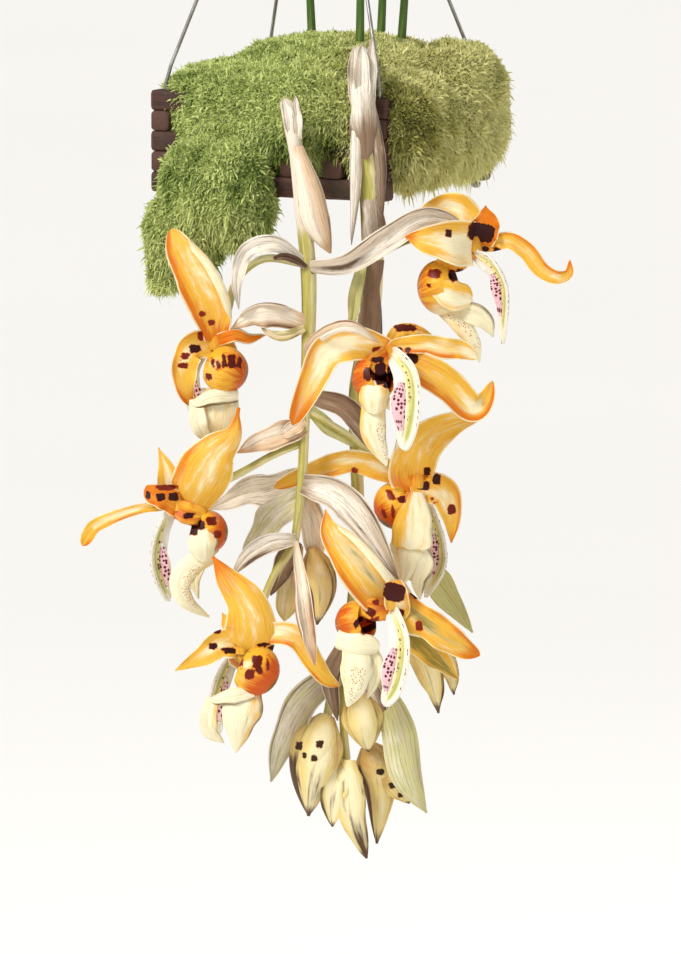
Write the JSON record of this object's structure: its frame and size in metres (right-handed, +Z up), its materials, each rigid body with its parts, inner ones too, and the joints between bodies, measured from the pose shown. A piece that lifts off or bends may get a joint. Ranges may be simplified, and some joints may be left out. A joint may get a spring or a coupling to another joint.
{
  "type": "stanhopea shuttleworthii in basket",
  "caption": "Hanging orchid with pendulous spikes of large waxy golden flowers, growing in a square slatted basket of moss hung by wires from a hook.",
  "frame": {"origin": "the inner top of the hanging hook, where it rests on what holds it", "axes": "+Z up; the basket's sides run along X and Y, with the flower spikes hanging in front of the -Y side"},
  "size_m": [0.4405, 0.4352, 0.7458],
  "materials": {
    "slat_wood": "rough dark maroon-brown weathered wood",
    "hanger_metal": "dull galvanised wire",
    "tepal": "waxy golden yellow petal with orange edges",
    "lip": "glossy waxy lip, orange sac and cream horns, spotted",
    "column": "waxy cream column with purple dots",
    "bud": "pale yellow closed bud with brown spots",
    "stalk": "green stalk with papery grey-brown bracts",
    "pseudobulb": "smooth ribbed green pseudobulb",
    "leaf": "leathery pleated green leaf",
    "moss": "shaggy green and tan moss"
  },
  "bodies": {
    "root": {"slat_front_1": "slat_wood", "slat_front_2": "slat_wood", "slat_front_3": "slat_wood", "slat_back_1": "slat_wood", "slat_back_2": "slat_wood", "slat_back_3": "slat_wood", "slat_left_1": "slat_wood", "slat_left_2": "slat_wood", "slat_right_1": "slat_wood", "slat_right_2": "slat_wood", "slat_floor_1": "slat_wood", "slat_floor_2": "slat_wood", "slat_floor_3": "slat_wood", "slat_floor_4": "slat_wood", "hanger_wire_1": "hanger_metal", "hanger_wire_2": "hanger_metal", "hanger_wire_3": "hanger_metal", "hanger_wire_4": "hanger_metal", "hanger_hook": "hanger_metal", "bloom_1_tepals": "tepal", "bloom_1_lip": "lip", "bloom_1_column": "column", "bloom_2_tepals": "tepal", "bloom_2_lip": "lip", "bloom_2_column": "column", "bloom_3_tepals": "tepal", "bloom_3_lip": "lip", "bloom_3_column": "column", "bloom_4_tepals": "tepal", "bloom_4_lip": "lip", "bloom_4_column": "column", "bloom_5_tepals": "tepal", "bloom_5_lip": "lip", "bloom_5_column": "column", "bloom_6_tepals": "tepal", "bloom_6_lip": "lip", "bloom_6_column": "column", "bloom_7_tepals": "tepal", "bloom_7_lip": "lip", "bloom_7_column": "column", "bud_1": "bud", "bud_2": "bud", "bud_3": "bud", "bud_4": "bud", "bud_5": "bud", "spike_1_stem": "stalk", "spike_2_stem": "stalk", "bulb_1": "pseudobulb", "bulb_2": "pseudobulb", "bulb_3": "pseudobulb", "bulb_4": "pseudobulb", "leaf_1": "leaf", "leaf_2": "leaf", "leaf_3": "leaf", "leaf_4": "leaf", "moss": "moss"}
  },
  "joints": []
}
